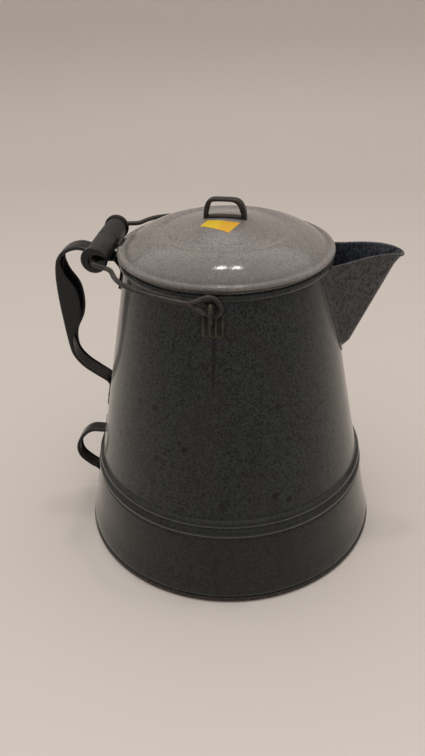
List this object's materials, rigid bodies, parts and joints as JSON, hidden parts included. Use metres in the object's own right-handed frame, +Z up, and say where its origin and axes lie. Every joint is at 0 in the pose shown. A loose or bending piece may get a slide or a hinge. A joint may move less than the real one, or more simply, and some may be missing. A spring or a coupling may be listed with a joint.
{
  "type": "enamel coffee boiler",
  "caption": "Tapered enamelled steel coffee pot with a V-shaped spout, hinged domed lid, swinging wire bail with a turned grip, strap handle and low tilting handle.",
  "frame": {"origin": "on the pot's own axis, in the plane of the flat underside that stands on the table", "axes": "+Z up along the pot's axis, +X towards the spout, the strap handle on the -X side, the bail swings about an axis along Y"},
  "size_m": [0.2711, 0.2504, 0.2854],
  "materials": {
    "enamel": "glossy mottled enamel",
    "lid_enamel": "glossy mottled enamel",
    "black_enamel": "worn black enamel",
    "iron": "dark worn iron",
    "black_wood": "worn black paint on turned wood"
  },
  "bodies": {
    "pot": {"body_wall": "enamel", "rim_wire": "iron", "base_skirt": "enamel", "foot_wire": "iron", "bottom_disc": "enamel", "spout": "enamel", "strap_handle": "black_enamel", "strap_handle_rivets": "iron", "tilt_handle": "black_enamel", "tilt_handle_rivets": "iron", "bail_ear_left": "iron", "bail_ear_right": "iron", "hinge_bracket": "iron", "hinge_pin": "iron"},
    "lid": {"lid_shell": "lid_enamel", "lid_collar": "lid_enamel", "lid_knob": "iron", "lid_knob_rivets": "iron", "lid_hinge_tab": "iron"},
    "bail": {"bail_wire": "iron"},
    "grip": {"bail_grip": "black_wood"}
  },
  "joints": [
    {"name": "lid_hinge", "type": "hinge", "parent": "pot", "child": "lid", "pos_m": [-0.0814, 0, 0.2486], "axis": [0, -1, 0], "range_deg": [0, 90]},
    {"name": "bail_swing", "type": "hinge", "parent": "pot", "child": "bail", "pos_m": [0, 0, 0.2385], "axis": [0, 1, 0], "range_deg": [0, 163]},
    {"name": "grip_spin", "type": "hinge", "parent": "bail", "child": "grip", "pos_m": [-0.0925, 0, 0.2485], "axis": [0, 1, 0], "continuous": true}
  ]
}
